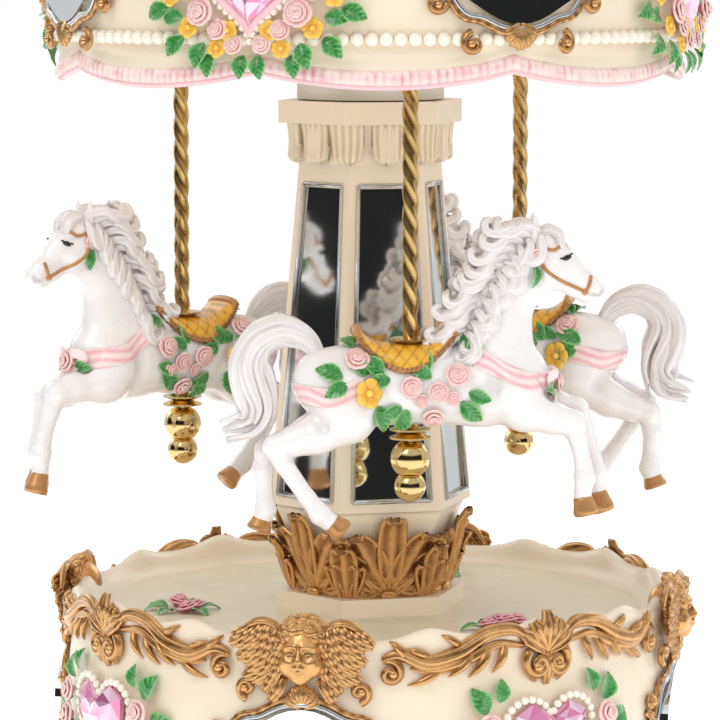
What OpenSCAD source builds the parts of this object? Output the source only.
// Carousel music box: drum base with the movement inside, mirrored column, turning canopy, three horses.
// Origin: centre of the underside, +Z up. Front is -Y. Azimuths are turned from the front towards +X.

/* [Base] */
// Outer radius of the base drum
base_r = 94; // [90:1:98]
// Height of the deck the column stands on
deck_z = 60; // [56:1:66]
// Height of the rim above the deck
rim_h = 7; // [5:0.5:10]
// Wall thickness of the resin castings
wall = 5; // [4:0.5:6]
// Thickness of the felt pads under the base
felt_t = 2; // [1:0.5:3]
// Height of the recess under the bottom plate, for the winding key
recess_h = 13; // [12:0.5:15]

/* [Column] */
// Radius of the six-sided shaft over its corners, at its foot
column_r = 32.7; // [30:0.1:34]
// The same radius at the top of the shaft
column_top_r = 22.9; // [21:0.1:25]
// Height of the capital's top above the deck
capital_top = 159.5; // [155:0.5:165]
// Azimuth of one mirrored face
column_turn = 13.4; // [0:0.1:59]

/* [Canopy] */
// Radius of the skirt at its lower edge
skirt_r = 96.4; // [94:0.1:98]
// Height of the skirt's lowest points above the deck
skirt_bottom = 166; // [162:0.5:170]
// Height of the skirt
skirt_h = 46; // [42:1:50]
// Rise of the scallops between their low and high points
scallop_rise = 4.5; // [3:0.5:6]
// Height of the domed roof
roof_h = 46; // [36:1:56]

/* [Horses] */
// Radius of the circle the poles hang on
pole_circle_r = 64; // [62:0.5:66]
// Radius of a brass pole
pole_r = 2.5; // [2.3:0.1:2.7]
// Azimuth of the first pole
pole_turn = 10.5; // [0:0.5:20]
// Heading of each horse, turned from +X
headings = [4, 172, -143];

/* [Movement] */
// Radius of the drive shaft
shaft_r = 3; // [2.5:0.1:3.5]
// Module of the crown wheel and its pinion
crown_m = 0.8; // [0.7:0.05:0.8]
// Teeth of the crown wheel
crown_teeth = 48; // [44:2:48]
// Teeth of the cylinder pinion
pinion_teeth = 20; // [18:1:20]

/* [Hidden] */
$fn = 64;
eps = 0.01;

cream = "#EFE2C4";
gold = "#BE8A4C";
brass = "#B8904A";
steel = "#A9ADB2";
mirror_grey = "#C9D2D6";
gem_pink = "#E87BB0";
pearl = "#F6EFDD";
rose_pink = "#EFA9A8";
leaf_green = "#2F8A34";

running = 0.05;                          // radial clearance of a running fit
gap = 0.4;                               // gap between pieces that move apart

plate_z = recess_h;                      // underside of the bottom plate
plate_t = 2;
floor_z = plate_z + plate_t;             // what the movement stands on
deck_t = 5;
bore_r = shaft_r + 2;                    // clear hole round the drive shaft
bush_r = shaft_r + 3;
base_inner_r = base_r - wall - 1;

plinth_h = 5.6;
foot_z = deck_z + plinth_h;
shaft_z = deck_z + 33;
neck_z = deck_z + 140;
abacus_h = 7;
capital_z = deck_z + capital_top;
column_slope = atan((column_r - column_top_r) * cos(30) / (neck_z - shaft_z));
mirror_t = 1;

skirt_z = deck_z + skirt_bottom;
skirt_top = skirt_z + skirt_h;
ceiling_z = skirt_z + 10;
ceiling_t = 3;
ceiling_r = skirt_r - 5.4;
hub_z = capital_z + gap;
roof_z = skirt_top;
roof_top = roof_z + roof_h;
finial_h = 24;
scallops = 8;
sector = 360 / scallops;
gem_az = -20;                            // azimuth of one canopy gem; mirrors lie a sector away
cherub_az = -12;
base_gem_az = 33;

pole_top = ceiling_z + ceiling_t + 4;
pole_bottom = deck_z + 43;
belly_z = deck_z + 64.2;
seat_z = deck_z + 89;
horse_bore_r = pole_r + running;

barrel_r = 16;
barrel_z = floor_z + 4;
barrel_h = 10;
crown_r = crown_m * crown_teeth / 2;
crown_face = 3;
crown_root_z = barrel_z + barrel_h + 1.6;
crown_add = 0.7;
crown_ded = 1;
axis_z = crown_root_z + crown_ded + crown_m * pinion_teeth / 2;   // height of the cylinder's axis
arbor_r = 1.2;
cyl_r = 6.3;
cyl_x0 = 28;
cyl_x1 = 49.5;
wheel_m = 0.6;
wheel_teeth = 30;
gov_teeth = 10;
gov_y = wheel_m * (wheel_teeth + gov_teeth) / 2;
wheel_x = 50.5;
bracket_t = 2;
inner_x = 23.5;
outer_x = 54;
winder_r = 2;

// Turns its children to each of count places, from the azimuth start.
module ring(start, count) {
    for (i = [0 : count - 1]) rotate([0, 0, start + i * 360 / count]) children();
}

// Stands a flat outline up on the front of a drum of radius r, from depth in to proud out.
module plaque(r, z, depth, proud) {
    translate([0, -r + depth, z]) rotate([90, 0, 0]) linear_extrude(depth + proud) children();
}

// Heart outline, w wide over its lobes.
module heart(w) {
    lobe = w * 0.27;
    for (s = [-1, 1]) translate([s * (w / 2 - lobe), w * 0.16]) circle(lobe);
    polygon([[-w * 0.47, w * 0.04], [0, -w * 0.45], [w * 0.47, w * 0.04], [w * 0.2, w * 0.3],
             [0, w * 0.25], [-w * 0.2, w * 0.3]]);
}

// Cartouche outline: an oval whose sides are waved, w by h.
module cartouche(w, h) {
    polygon([for (a = [0 : 10 : 350]) [w / 2 * (1 + 0.06 * cos(4 * a)) / 1.06 * cos(a),
                                       h / 2 * (1 + 0.06 * cos(4 * a)) / 1.06 * sin(a)]]);
}

// Pointed leaf outline, l long.
module leaf(l) {
    intersection() {
        translate([0, -l * 0.35]) circle(l * 0.61);
        translate([0, l * 0.35]) circle(l * 0.61);
    }
}

// Gear outline with straight-sided teeth, thin enough to leave backlash.
module gear_outline(m, teeth, add, ded) {
    r = m * teeth / 2;
    pitch = 360 / teeth;
    polygon([for (i = [0 : teeth - 1]) for (p = [[-0.30, -ded], [-0.12, add], [0.12, add], [0.30, -ded]])
             let (a = (i + p[0]) * pitch) [(r + p[1]) * cos(a), (r + p[1]) * sin(a)]]);
}

// Lays a gear or disc on an axis along +X, starting at x and w wide.
module along_x(x, y, w) {
    translate([x, y, axis_z]) rotate([0, 90, 0]) linear_extrude(w) children();
}

module pan_screw(head_r, head_h, shank_r, length) {
    cylinder(r = head_r, h = head_h);
    translate([0, 0, head_h - eps]) cylinder(r = shank_r, h = length);
}

// ---- base ----

screw_circle_r = base_inner_r - 8;
boss_r = 5;
boss_h = 12;
boss_reach = deck_z - deck_t - floor_z;    // up to the underside of the deck
web_t = 4;                                 // between a boss and the drum wall
tap_r = 1.5;

module base_shell() {
    color(cream) difference() {
        union() {
            rotate_extrude() polygon([[base_inner_r, felt_t], [base_r + 2, felt_t], [base_r + 3, felt_t + 6],
                [base_r + 1, felt_t + 12], [base_r + 2.5, 28], [base_r + 1, deck_z - 12], [base_r, deck_z - 2],
                [base_r + 1, deck_z + rim_h - 2], [base_r - 1, deck_z + rim_h], [base_r - 4, deck_z + rim_h - 1],
                [base_inner_r, deck_z + 1]]);
            ring(45, 4) translate([0, -screw_circle_r, floor_z]) {
                cylinder(r = boss_r, h = boss_reach);
                translate([-web_t / 2, screw_circle_r - base_inner_r - 1, 0]) {
                    cube([web_t, base_inner_r - screw_circle_r + 1, boss_reach]);
                }
            }
        }
        ring(45, 4) translate([0, -screw_circle_r, floor_z - eps]) cylinder(r = tap_r, h = boss_h);
    }
}

module base_deck() {
    color(cream) difference() {
        translate([0, 0, deck_z - deck_t]) cylinder(r = base_inner_r, h = deck_t);
        translate([0, 0, deck_z - deck_t - 1]) cylinder(r = bush_r, h = deck_t + 2);
    }
}

module bottom_plate() {
    color("#6B5138") difference() {
        translate([0, 0, plate_z]) cylinder(r = base_inner_r - gap, h = plate_t);
        translate([0, 0, plate_z - 1]) cylinder(r = winder_r + 1, h = plate_t + 2);
        ring(45, 4) translate([0, -screw_circle_r, plate_z - 1]) cylinder(r = tap_r, h = plate_t + 2);
        ring(45, 4) movement_hole(plate_z - 1, plate_t + 2);
    }
}

module bottom_screws() {
    color(steel) ring(45, 4) translate([0, -screw_circle_r, plate_z - 1.5]) {
        pan_screw(3, 1.5, tap_r, plate_t + boss_h - 2);
    }
}

module felt_pads() {
    color("#3F4A3B") ring(0, 4) translate([0, -(base_r - wall / 2 - 1), 0]) {
        translate([-9, -2.5, 0]) cube([18, 5, felt_t]);
    }
}

module rim_scrolls() {
    color(gold) ring(cherub_az + 17, 4) rotate([0, 0, -90]) rotate_extrude(angle = 56) {
        translate([base_r + 1, deck_z - 2]) circle(3, $fn = 16);
    }
}

module base_cherubs() {
    color(gold) ring(cherub_az, 4) {
        translate([0, -base_r - 1.5, deck_z]) sphere(7);
        for (s = [-1, 1]) translate([s * 13, 0, 0]) rotate([0, 0, s * 4]) {
            plaque(base_r, deck_z - 1, 2.5, 4) leaf(20);
        }
    }
}

base_mirror_z = 30;
base_mirror_w = 44;
base_mirror_h = 30;

module base_mirrors() {
    color(mirror_grey) ring(cherub_az, 4) {
        plaque(base_r, base_mirror_z, 1.2, 4) cartouche(base_mirror_w, base_mirror_h);
    }
}

module base_mirror_frames() {
    color(gold) ring(cherub_az, 4) plaque(base_r, base_mirror_z, 2, 6) difference() {
        cartouche(base_mirror_w + 7, base_mirror_h + 7);
        cartouche(base_mirror_w, base_mirror_h);
    }
}

base_gem_z = 36;
base_gem_w = 28;

module base_gems() {
    color(gem_pink) ring(base_gem_az, 4) plaque(base_r, base_gem_z, 2, 6) heart(base_gem_w);
}

module base_gem_pearls() {
    color(pearl) ring(base_gem_az, 4) plaque(base_r, base_gem_z, 2, 4.5) difference() {
        heart(base_gem_w + 6);
        heart(base_gem_w);
    }
}

module base_roses() {
    color(rose_pink) ring(base_gem_az, 4) for (s = [-1, 1]) rotate([0, 0, s * 14]) {
        for (k = [-1, 1]) plaque(base_r, base_gem_z - 2 + k * 4.5, 2, 5.5) circle(4, $fn = 24);
    }
}

module base_leaves() {
    color(leaf_green) ring(base_gem_az, 4) for (s = [-1, 1]) rotate([0, 0, s * 14]) {
        plaque(base_r, base_gem_z + 14.5, 2, 4) leaf(11);
        plaque(base_r, base_gem_z - 18.5, 2, 4) leaf(11);
    }
}

// ---- deck ornaments ----

module deck_roses() {
    color(rose_pink) ring(42, 3) translate([0, -62, deck_z]) {
        for (x = [-8, 0, 8]) translate([x, 0, 0]) cylinder(r = 3.9, h = 4.5, $fn = 24);
    }
}

module deck_leaves() {
    color(leaf_green) ring(42, 3) translate([0, -62, deck_z]) for (s = [-1, 1]) {
        translate([s * 4, s * 8, 0]) linear_extrude(1.5) leaf(9);
    }
}

// ---- column ----

module hexagon(r) {
    rotate(column_turn) circle(r, $fn = 6);
}

// Straight bore up the middle of the column, clear of the drive shaft.
module shaft_way(z, h) {
    translate([0, 0, z - 1]) cylinder(r = bore_r, h = h + 2);
}

module column_plinth() {
    color(cream) difference() {
        translate([0, 0, deck_z]) linear_extrude(plinth_h) hexagon(30.6);
        shaft_way(deck_z, plinth_h);
    }
}

module column_foot() {
    foot_h = shaft_z - foot_z;
    color(gold) difference() {
        translate([0, 0, foot_z]) linear_extrude(foot_h, scale = 1.32) hexagon(26.5);
        shaft_way(foot_z, foot_h);
    }
}

// One mirror's outline on a column face, w0 wide at the bottom and w1 at the top, h long.
module mirror_outline(w0, w1, h) {
    polygon([[-w0 / 2, 0], [w0 / 2, 0], [w1 / 2, h], [-w1 / 2, h]]);
}

mirror_base = shaft_z + 4;
mirror_len = neck_z - shaft_z - 11;
mirror_depth = 1.6;

// Places an outline on every column face, from depth below the face to depth - t.
module on_faces(depth, t) {
    ring(column_turn, 6) translate([0, -column_r * cos(30), shaft_z]) rotate([90 - column_slope, 0, 0]) {
        translate([0, 4, -depth]) linear_extrude(t) children();
    }
}

module column_shaft() {
    h = neck_z - shaft_z;
    color(cream) difference() {
        translate([0, 0, shaft_z]) linear_extrude(h, scale = column_top_r / column_r) hexagon(column_r);
        shaft_way(shaft_z, h);
        on_faces(mirror_depth, mirror_depth + 1) mirror_outline(24, 16.6, mirror_len);
    }
}

module column_mirrors() {
    color(mirror_grey) on_faces(mirror_depth, mirror_t) mirror_outline(23.8, 16.4, mirror_len - 0.1);
}

module column_capital() {
    bell_h = capital_z - abacus_h - neck_z;
    color(cream) difference() {
        union() {
            translate([0, 0, neck_z]) linear_extrude(bell_h, scale = 1.15) hexagon(column_top_r);
            translate([0, 0, neck_z + bell_h]) linear_extrude(abacus_h) hexagon(29.5);
            ring(column_turn, 12) translate([-3, -24.3, neck_z + 1]) cube([6, 3, bell_h]);
        }
        shaft_way(neck_z, bell_h + abacus_h);
        translate([0, 0, capital_z - 5]) cylinder(r = bush_r, h = 6);
    }
}

module bush(z, h) {
    color(brass) difference() {
        translate([0, 0, z]) cylinder(r = bush_r, h = h);
        translate([0, 0, z - 1]) cylinder(r = shaft_r + running, h = h + 2);
    }
}

module deck_bush() {
    bush(deck_z - deck_t, deck_t);
}

module top_bush() {
    bush(capital_z - 5, 5);
}

// ---- movement ----

screw_hole_r = 1.3;

module movement_hole(z, h) {
    translate([0, -26, z]) cylinder(r = screw_hole_r, h = h);
}

module bedplate() {
    color(brass) difference() {
        union() {
            translate([-27, -27, floor_z]) cube([86, 48, 3]);
            translate([cyl_x0, -27, floor_z + 2]) cube([cyl_x1 - cyl_x0, 11, axis_z - 0.5 - floor_z - 2]);
            ring(45, 4) translate([0, -26, floor_z]) cylinder(r = 4, h = 3);
        }
        translate([0, 0, floor_z - 1]) cylinder(r = winder_r + 1, h = 5);
        ring(45, 4) movement_hole(floor_z - 1, 5);
        for (x = [33, 45]) translate([x, -21, axis_z - 8]) cylinder(r = screw_hole_r, h = 9);
    }
}

module movement_screws() {
    color(steel) ring(45, 4) translate([0, -26, plate_z - 1.5]) pan_screw(2.5, 1.5, screw_hole_r, plate_t + 3);
}

module bracket(x) {
    color(brass) difference() {
        translate([x, -9, floor_z + 3]) cube([bracket_t, 26, axis_z + 6 - floor_z - 3]);
        along_x(x - 1, 0, bracket_t + 2) circle(arbor_r + running);
        along_x(x - 1, gov_y, bracket_t + 2) circle(arbor_r + running);
    }
}

module inner_bracket() {
    bracket(inner_x);
}

module outer_bracket() {
    bracket(outer_x);
}

comb_teeth = 18;

module tone_comb() {
    pitch = (cyl_x1 - cyl_x0 - 0.7) / comb_teeth;
    color(steel) difference() {
        union() {
            translate([cyl_x0, -27, axis_z - 0.5]) cube([cyl_x1 - cyl_x0, 13, 1]);
            for (i = [0 : comb_teeth - 1]) translate([cyl_x0 + 0.5 + i * pitch, -14 - eps, axis_z - 0.25]) {
                cube([pitch * 0.7, 14 - cyl_r - 1, 0.5]);
            }
        }
        for (x = [33, 45]) translate([x, -21, axis_z - 1]) cylinder(r = screw_hole_r, h = 3);
    }
}

module comb_screws() {
    color(steel) for (x = [33, 45]) translate([x, -21, axis_z + 2]) mirror([0, 0, 1]) {
        pan_screw(2.5, 1.5, screw_hole_r, 7);
    }
}

module winding_arbor() {
    color(steel) {
        translate([0, 0, 5]) cylinder(r = winder_r, h = barrel_z + 7 - 5);
        translate([0, 0, barrel_z + 2]) cylinder(r = winder_r + 1.5, h = 5);
    }
}

module winding_key() {
    color(brass) difference() {
        union() {
            translate([0, 0, 4]) cylinder(r = 4, h = plate_z - 1 - 4);
            for (s = [-1, 1]) translate([s * 11, 0, 7.5]) rotate([90, 0, 0]) difference() {
                linear_extrude(2.4, center = true) circle(5);
                linear_extrude(4, center = true) circle(2.2);
            }
            translate([-8, -1.2, 5.5]) cube([16, 2.4, 4]);
        }
        translate([0, 0, 5]) cylinder(r = winder_r, h = plate_z);
    }
}

pinion_turn = 180 / pinion_teeth;        // sets a gap, not a tooth, against the crown wheel

module cylinder_arbor() {
    color(steel) {
        along_x(crown_r - crown_face / 2, 0, outer_x + bracket_t + 1 - crown_r + crown_face / 2) circle(arbor_r);
        along_x(crown_r - crown_face / 2, 0, crown_face) rotate(pinion_turn) {
            gear_outline(crown_m, pinion_teeth, crown_add, crown_ded);
        }
    }
}

module music_cylinder() {
    color(brass) difference() {
        union() {
            along_x(cyl_x0, 0, cyl_x1 - cyl_x0) circle(cyl_r);
            for (i = [0 : 35]) translate([cyl_x0 + 0.9 + (i * 7 % 18) * 1.155, 0, axis_z]) {
                rotate([i * 97 % 360, 0, 0]) cylinder(r = 0.3, h = cyl_r + 0.6, $fn = 16);
            }
        }
        along_x(cyl_x0 - 1, 0, cyl_x1 - cyl_x0 + 2) circle(arbor_r);
    }
}

module cylinder_wheel() {
    color(brass) difference() {
        along_x(wheel_x, 0, 1.5) gear_outline(wheel_m, wheel_teeth, 0.5, 0.75);
        along_x(wheel_x - 1, 0, 4) circle(arbor_r);
    }
}

module governor_arbor() {
    color(steel) {
        along_x(inner_x - 1, gov_y, outer_x + bracket_t + 2 - inner_x) circle(arbor_r);
        along_x(wheel_x - 0.3, gov_y, 2.1) rotate(180 / gov_teeth) {
            gear_outline(wheel_m, gov_teeth, 0.5, 0.75);
        }
    }
}

module governor_fan() {
    color(brass) difference() {
        union() {
            along_x(31, gov_y, 15) square([9, 0.6], center = true);
            along_x(31, gov_y, 15) circle(2);
        }
        along_x(30, gov_y, 17) circle(arbor_r);
    }
}

module spring_barrel() {
    color(brass) difference() {
        translate([0, 0, barrel_z]) cylinder(r = barrel_r, h = barrel_h);
        translate([0, 0, barrel_z + 1.2]) cylinder(r = barrel_r - 1.2, h = barrel_h);
        translate([0, 0, barrel_z - 1]) cylinder(r = winder_r + running, h = 4);
    }
}

// Spiral strip from radius r0 to r1 over the given turns.
module spiral(r0, r1, turns, t) {
    steps = turns * 24;
    inner = [for (i = [0 : steps]) let (r = r0 + (r1 - r0) * i / steps, a = i * 15) [r * cos(a), r * sin(a)]];
    outer = [for (i = [steps : -1 : 0]) let (r = r0 + t + (r1 - r0) * i / steps, a = i * 15) [r * cos(a), r * sin(a)]];
    polygon(concat(inner, outer));
}

module mainspring() {
    color(steel) translate([0, 0, barrel_z + 1.8]) linear_extrude(6.5) {
        spiral(winder_r + 2, barrel_r - 2.4, 6, 0.6);
    }
}

module great_wheel() {
    lid_z = barrel_z + barrel_h;
    color(brass) difference() {
        union() {
            translate([0, 0, lid_z]) cylinder(r = crown_r + crown_face / 2 + 0.8, h = crown_root_z - lid_z);
            translate([0, 0, lid_z]) cylinder(r = bore_r, h = 8);
            for (i = [0 : crown_teeth - 1]) rotate([0, 0, i * 360 / crown_teeth]) {
                translate([crown_r - crown_face / 2, 0, crown_root_z - eps]) rotate([90, 0, 90]) {
                    linear_extrude(crown_face) polygon([[-0.7, 0], [-0.28, crown_ded + crown_add],
                                                        [0.28, crown_ded + crown_add], [0.7, 0]]);
                }
            }
        }
        translate([0, 0, lid_z + 1]) cylinder(r = shaft_r, h = 10);
    }
}

module drive_shaft() {
    color(steel) translate([0, 0, barrel_z + barrel_h + 1]) {
        cylinder(r = shaft_r, h = roof_top + 10 - barrel_z - barrel_h - 1);
    }
}

// ---- canopy ----

module turntable_hub() {
    color("#D6D3CA") difference() {
        union() {
            translate([0, 0, hub_z]) cylinder(r = 23, h = 4.6);
            translate([0, 0, hub_z]) cylinder(r = 18.4, h = ceiling_z - hub_z);
        }
        translate([0, 0, hub_z - 1]) cylinder(r = shaft_r, h = 30);
    }
}

module pole_places() {
    ring(pole_turn, 3) translate([0, -pole_circle_r, 0]) children();
}

module canopy_ceiling() {
    color(cream) difference() {
        translate([0, 0, ceiling_z]) cylinder(r = ceiling_r, h = ceiling_t);
        translate([0, 0, ceiling_z - 1]) cylinder(r = shaft_r, h = ceiling_t + 2);
        pole_places() translate([0, 0, ceiling_z - 1]) cylinder(r = pole_r, h = ceiling_t + 2);
    }
}

// Height of the scalloped edge above its low points, a degrees from a low point.
function scallop(a) = scallop_rise * (1 - cos(a * 180 / sector)) ;

// Outline of one sector under the scalloped edge, from low to that edge shifted by lift.
module under_scallop(low, lift) {
    pts = [for (a = [-sector / 2 : sector / 12 : sector / 2]) [skirt_r * 1.04 * sin(a), scallop(a) + lift]];
    half = skirt_r * 1.04 * sin(sector / 2);
    polygon(concat([[half, low], [-half, low]], pts));
}

module below_edge(lift) {
    ring(gem_az + sector / 2, scallops) translate([0, -skirt_r + 12, skirt_z]) rotate([90, 0, 0]) {
        linear_extrude(24) under_scallop(-20, lift);
    }
}

module canopy_skirt() {
    color(cream) difference() {
        rotate_extrude() polygon([[ceiling_r, skirt_z - 1], [skirt_r, skirt_z - 1], [skirt_r + 1.1, skirt_z + 13.5],
            [skirt_r + 3.6, skirt_z + 27], [skirt_r + 4.1, skirt_top - 6], [skirt_r + 4.6, skirt_top - 3],
            [skirt_r + 4.6, skirt_top], [ceiling_r, skirt_top]]);
        below_edge(0);
    }
}

module canopy_ruffle() {
    color("#F2B8C0") intersection() {
        rotate_extrude() polygon([[skirt_r - 3, skirt_z - 4], [skirt_r + 0.8, skirt_z - 4],
            [skirt_r + 0.8, skirt_z + 6], [skirt_r - 3, skirt_z + 6]]);
        difference() {
            below_edge(0);
            below_edge(-3.2);
        }
    }
}

module canopy_pearls() {
    color(pearl) rotate_extrude() translate([skirt_r + 2.6, skirt_z + 13.5]) circle(2.05, $fn = 24);
}

canopy_mirror_z = skirt_z + 30.5;
canopy_gem_z = skirt_z + 30;
canopy_gem_w = 24;
face_r = skirt_r + 3.6;

module canopy_mirrors() {
    color(mirror_grey) ring(gem_az + sector, 4) plaque(face_r, canopy_mirror_z, 1.6, 1.6) cartouche(40, 24);
}

module canopy_mirror_frames() {
    color(gold) ring(gem_az + sector, 4) plaque(face_r, canopy_mirror_z, 1.6, 3.5) difference() {
        cartouche(46, 29);
        cartouche(40, 24);
    }
}

module canopy_gems() {
    color(gem_pink) ring(gem_az, 4) plaque(face_r, canopy_gem_z, 1.6, 5) heart(canopy_gem_w);
}

module canopy_gem_pearls() {
    color(pearl) ring(gem_az, 4) plaque(face_r, canopy_gem_z, 1.6, 3.5) difference() {
        heart(canopy_gem_w + 5);
        heart(canopy_gem_w);
    }
}

module canopy_roses() {
    color(rose_pink) ring(gem_az, 4) for (s = [-1, 1]) rotate([0, 0, s * 13]) {
        for (k = [-1, 1]) plaque(face_r, canopy_gem_z - 1 + k * 5, 1.6, 5) circle(4, $fn = 24);
    }
}

module canopy_leaves() {
    color(leaf_green) ring(gem_az, 4) for (s = [-1, 1]) rotate([0, 0, s * 12.5]) {
        plaque(face_r, canopy_gem_z + 12.3, 1.6, 3.5) leaf(9);
    }
}

roof_r = skirt_r + 2;
roof_curve = 1.6;                        // 1 is a cone, 2 a bowl

// Roof outline from the cornice up to the middle, for a roof of radius r and height h.
function dome(r, h) = [for (i = [0 : 15]) let (k = cos(i * 6)) [r * k, roof_z + h * (1 - pow(k, roof_curve))]];

module canopy_roof() {
    color(cream) difference() {
        union() {
            rotate_extrude() polygon(concat([[0, roof_z]], dome(roof_r, roof_h)));
            translate([0, 0, roof_top - 8]) cylinder(r = 10, h = 8);
        }
        rotate_extrude() polygon(concat([[0, roof_z - 1], [roof_r - wall, roof_z - 1]],
                                        dome(roof_r - wall, roof_h - wall)));
        translate([0, 0, roof_top - wall - 3]) cylinder(r = shaft_r, h = wall + 4);
    }
}

module finial() {
    color(gold) difference() {
        translate([0, 0, roof_top]) rotate_extrude() polygon([[0, 0], [8, 0], [8, 2], [4.5, 4], [4.5, 6],
            [7, 9], [7.6, 12], [6.5, 15], [4, 17], [3, 18.5], [2.2, 21], [0, finial_h]]);
        translate([0, 0, roof_top - 1]) cylinder(r = shaft_r, h = 11);
    }
}

// ---- poles ----

module poles() {
    color(brass) pole_places() translate([0, 0, pole_bottom]) cylinder(r = pole_r, h = pole_top - pole_bottom);
}

module pole_nuts() {
    color(steel) pole_places() translate([0, 0, ceiling_z + ceiling_t]) difference() {
        cylinder(r = 5, h = 3, $fn = 6);
        translate([0, 0, -1]) cylinder(r = pole_r, h = 6);
    }
}

// Dished washer, hollow side up from z.
module dished_washer() {
    rotate_extrude() polygon([[pole_r, 0], [3.4, 0], [6.2, 1], [6.2, 1.5], [pole_r, 0.7]]);
}

module dished_washers() {
    color(brass) pole_places() {
        translate([0, 0, seat_z + gap]) dished_washer();
        translate([0, 0, belly_z - gap - 1.5]) dished_washer();
        translate([0, 0, belly_z - gap - 1.55]) mirror([0, 0, 1]) dished_washer();
    }
}

large_ball_z = deck_z + 54.7;
small_ball_z = deck_z + 46.3;
neck_ball_z = deck_z + 50.1;

module large_balls() {
    color(brass) pole_places() difference() {
        translate([0, 0, large_ball_z]) sphere(5.9);
        translate([0, 0, large_ball_z - 8]) cylinder(r = pole_r, h = 16);
        translate([-8, -8, neck_ball_z - 10]) cube([16, 16, 10]);
    }
}

module small_balls() {
    color(brass) pole_places() difference() {
        translate([0, 0, small_ball_z]) sphere(4.75);
        translate([0, 0, pole_bottom]) cylinder(r = pole_r, h = 16);
        translate([-8, -8, neck_ball_z]) cube([16, 16, 10]);
    }
}

// ---- horses ----

// A flat profile of the horse, in its own forward and up axes, t thick and set off to one side.
module profile(t, side) {
    translate([0, side, deck_z]) rotate([90, 0, 0]) linear_extrude(t, center = true) children();
}

module ball_at(u, z, r) {
    translate([u, 0, deck_z + z]) sphere(r, $fn = 28);
}

module horse() {
    difference() {
        union() {
            hull() {
                ball_at(29, 79, 11.5);
                ball_at(2, 76.6, 12.4);
                ball_at(-20, 76, 12);
            }
            hull() {
                ball_at(25, 86, 9.5);
                ball_at(34, 112, 6.5);
            }
            hull() {
                ball_at(38, 113.5, 7);
                ball_at(53, 105, 4);
            }
            profile(9, 0) polygon([[37, 127], [34, 122], [24, 124], [13, 115], [10, 95], [16, 88], [28, 96], [36, 116]]);
            profile(18, 0) polygon([[-20, 84], [-19, 94], [-15, 96.5], [-10, 92], [-6.8, 89], [6.8, 89], [10, 91],
                                    [13, 95], [16, 93], [14, 84]]);
            profile(7, 5.5) polygon([[24, 76], [40, 76], [50, 70], [53, 64], [55, 50], [60, 43], [59, 37], [53, 38],
                                     [50, 48], [46, 61], [40, 65], [26, 66]]);
            profile(7, -5.5) polygon([[24, 76], [38, 74], [47, 68], [50, 60], [51, 48], [56, 42], [54, 37], [48, 39],
                                      [46, 48], [43, 59], [38, 63], [24, 66]]);
            profile(7, 5.5) polygon([[-14, 72], [-31, 80], [-40, 64], [-37, 52], [-28, 41], [-29, 35], [-22, 31.5],
                                     [-19, 37], [-27, 50], [-32, 60], [-20, 66]]);
            profile(7, -5.5) polygon([[-14, 72], [-31, 80], [-44, 62], [-45, 55], [-43, 44], [-46, 36], [-44, 31],
                                      [-37, 32], [-38, 42], [-38, 54], [-32, 62], [-20, 66]]);
            profile(6, 0) polygon([[-22, 82], [-26, 91], [-35, 97], [-46, 93], [-53, 79], [-58, 60], [-51, 58],
                                   [-47, 70], [-44, 84], [-37, 89], [-32, 84], [-30, 78]]);
        }
        translate([0, 0, deck_z + 50]) cylinder(r = horse_bore_r, h = 60);
    }
}

// Hangs horse number i on its pole.
module hung_horse(i) {
    az = pole_turn + i * 120;
    color("#F4F1F0") translate([pole_circle_r * sin(az), -pole_circle_r * cos(az), 0]) {
        rotate([0, 0, headings[i]]) horse();
    }
}

module horse_1() {
    hung_horse(0);
}

module horse_2() {
    hung_horse(1);
}

module horse_3() {
    hung_horse(2);
}

base_shell();
base_deck();
bottom_plate();
bottom_screws();
felt_pads();
rim_scrolls();
base_cherubs();
base_mirrors();
base_mirror_frames();
base_gems();
base_gem_pearls();
base_roses();
base_leaves();
deck_roses();
deck_leaves();
column_plinth();
column_foot();
column_shaft();
column_mirrors();
column_capital();
deck_bush();
top_bush();
bedplate();
movement_screws();
inner_bracket();
outer_bracket();
tone_comb();
comb_screws();
winding_arbor();
winding_key();
cylinder_arbor();
music_cylinder();
cylinder_wheel();
governor_arbor();
governor_fan();
spring_barrel();
mainspring();
great_wheel();
drive_shaft();
turntable_hub();
canopy_ceiling();
canopy_skirt();
canopy_ruffle();
canopy_pearls();
canopy_mirrors();
canopy_mirror_frames();
canopy_gems();
canopy_gem_pearls();
canopy_roses();
canopy_leaves();
canopy_roof();
finial();
poles();
pole_nuts();
dished_washers();
large_balls();
small_balls();
horse_1();
horse_2();
horse_3();
